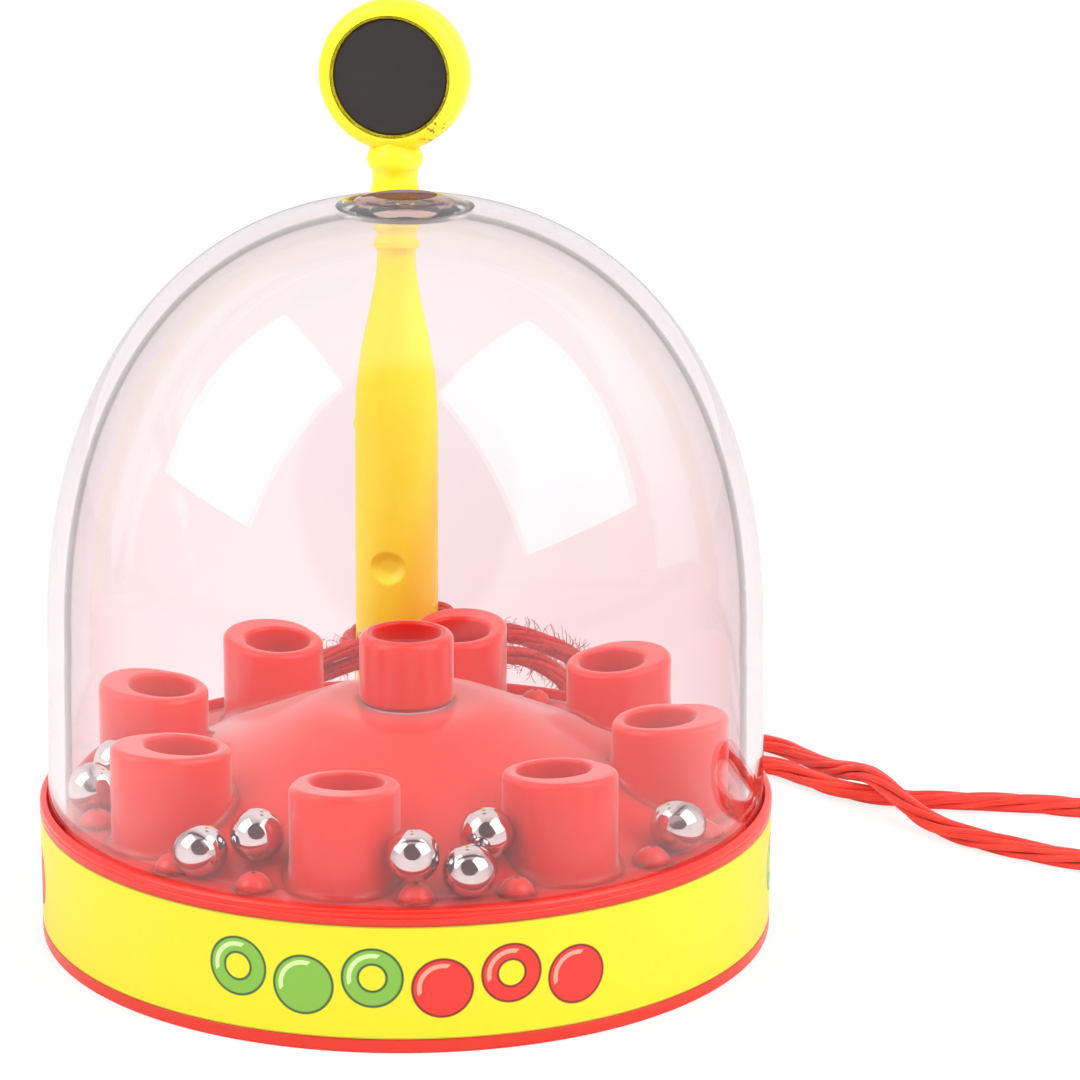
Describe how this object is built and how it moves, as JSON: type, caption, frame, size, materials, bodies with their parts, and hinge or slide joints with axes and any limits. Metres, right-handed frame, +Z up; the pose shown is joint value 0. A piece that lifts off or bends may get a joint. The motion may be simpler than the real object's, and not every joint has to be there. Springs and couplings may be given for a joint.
{
  "type": "magnetic ball drop game",
  "caption": "Round tabletop ball drop game: ball cups under a clear dome, loose steel balls, and a magnet wand tied with a cord.",
  "frame": {"origin": "centre of the base's underside, on the surface that the game stands on", "axes": "+Z up, -Y towards the player, +X to the player's right"},
  "size_m": [0.2006, 0.1408, 0.1368],
  "materials": {
    "red_plastic": "glossy moulded",
    "label_paper": "printed and varnished",
    "clear_plastic": "clear moulded",
    "yellow_plastic": "satin moulded",
    "ferrite": "sintered, matt",
    "red_cord": "braided satin",
    "ball_steel": "polished steel"
  },
  "bodies": {
    "game": {"base_tray": "red_plastic", "label_band": "label_paper", "play_deck": "red_plastic", "dome": "clear_plastic"},
    "wand": {"wand": "yellow_plastic", "magnet_disc": "ferrite", "cord_knot": "red_cord", "cord_tails": "red_cord", "cord_loop": "red_cord"},
    "ball_1": {"ball_1": "ball_steel"},
    "ball_2": {"ball_2": "ball_steel"},
    "ball_3": {"ball_3": "ball_steel"},
    "ball_4": {"ball_4": "ball_steel"},
    "ball_5": {"ball_5": "ball_steel"},
    "ball_6": {"ball_6": "ball_steel"},
    "ball_7": {"ball_7": "ball_steel"},
    "ball_8": {"ball_8": "ball_steel"}
  },
  "joints": [
    {"name": "wand_lift", "type": "slide", "parent": "game", "child": "wand", "axis": [0, 0, 1], "range_m": [0, 0.1]},
    {"name": "ball_1_lift", "type": "slide", "parent": "game", "child": "ball_1", "axis": [0, 0, 1], "range_m": [0, 0.015]},
    {"name": "ball_2_lift", "type": "slide", "parent": "game", "child": "ball_2", "axis": [0, 0, 1], "range_m": [0, 0.015]},
    {"name": "ball_3_lift", "type": "slide", "parent": "game", "child": "ball_3", "axis": [0, 0, 1], "range_m": [0, 0.015]},
    {"name": "ball_4_lift", "type": "slide", "parent": "game", "child": "ball_4", "axis": [0, 0, 1], "range_m": [0, 0.015]},
    {"name": "ball_5_lift", "type": "slide", "parent": "game", "child": "ball_5", "axis": [0, 0, 1], "range_m": [0, 0.015]},
    {"name": "ball_6_lift", "type": "slide", "parent": "game", "child": "ball_6", "axis": [0, 0, 1], "range_m": [0, 0.015]},
    {"name": "ball_7_lift", "type": "slide", "parent": "game", "child": "ball_7", "axis": [0, 0, 1], "range_m": [0, 0.015]},
    {"name": "ball_8_lift", "type": "slide", "parent": "game", "child": "ball_8", "axis": [0, 0, 1], "range_m": [0, 0.015]}
  ]
}
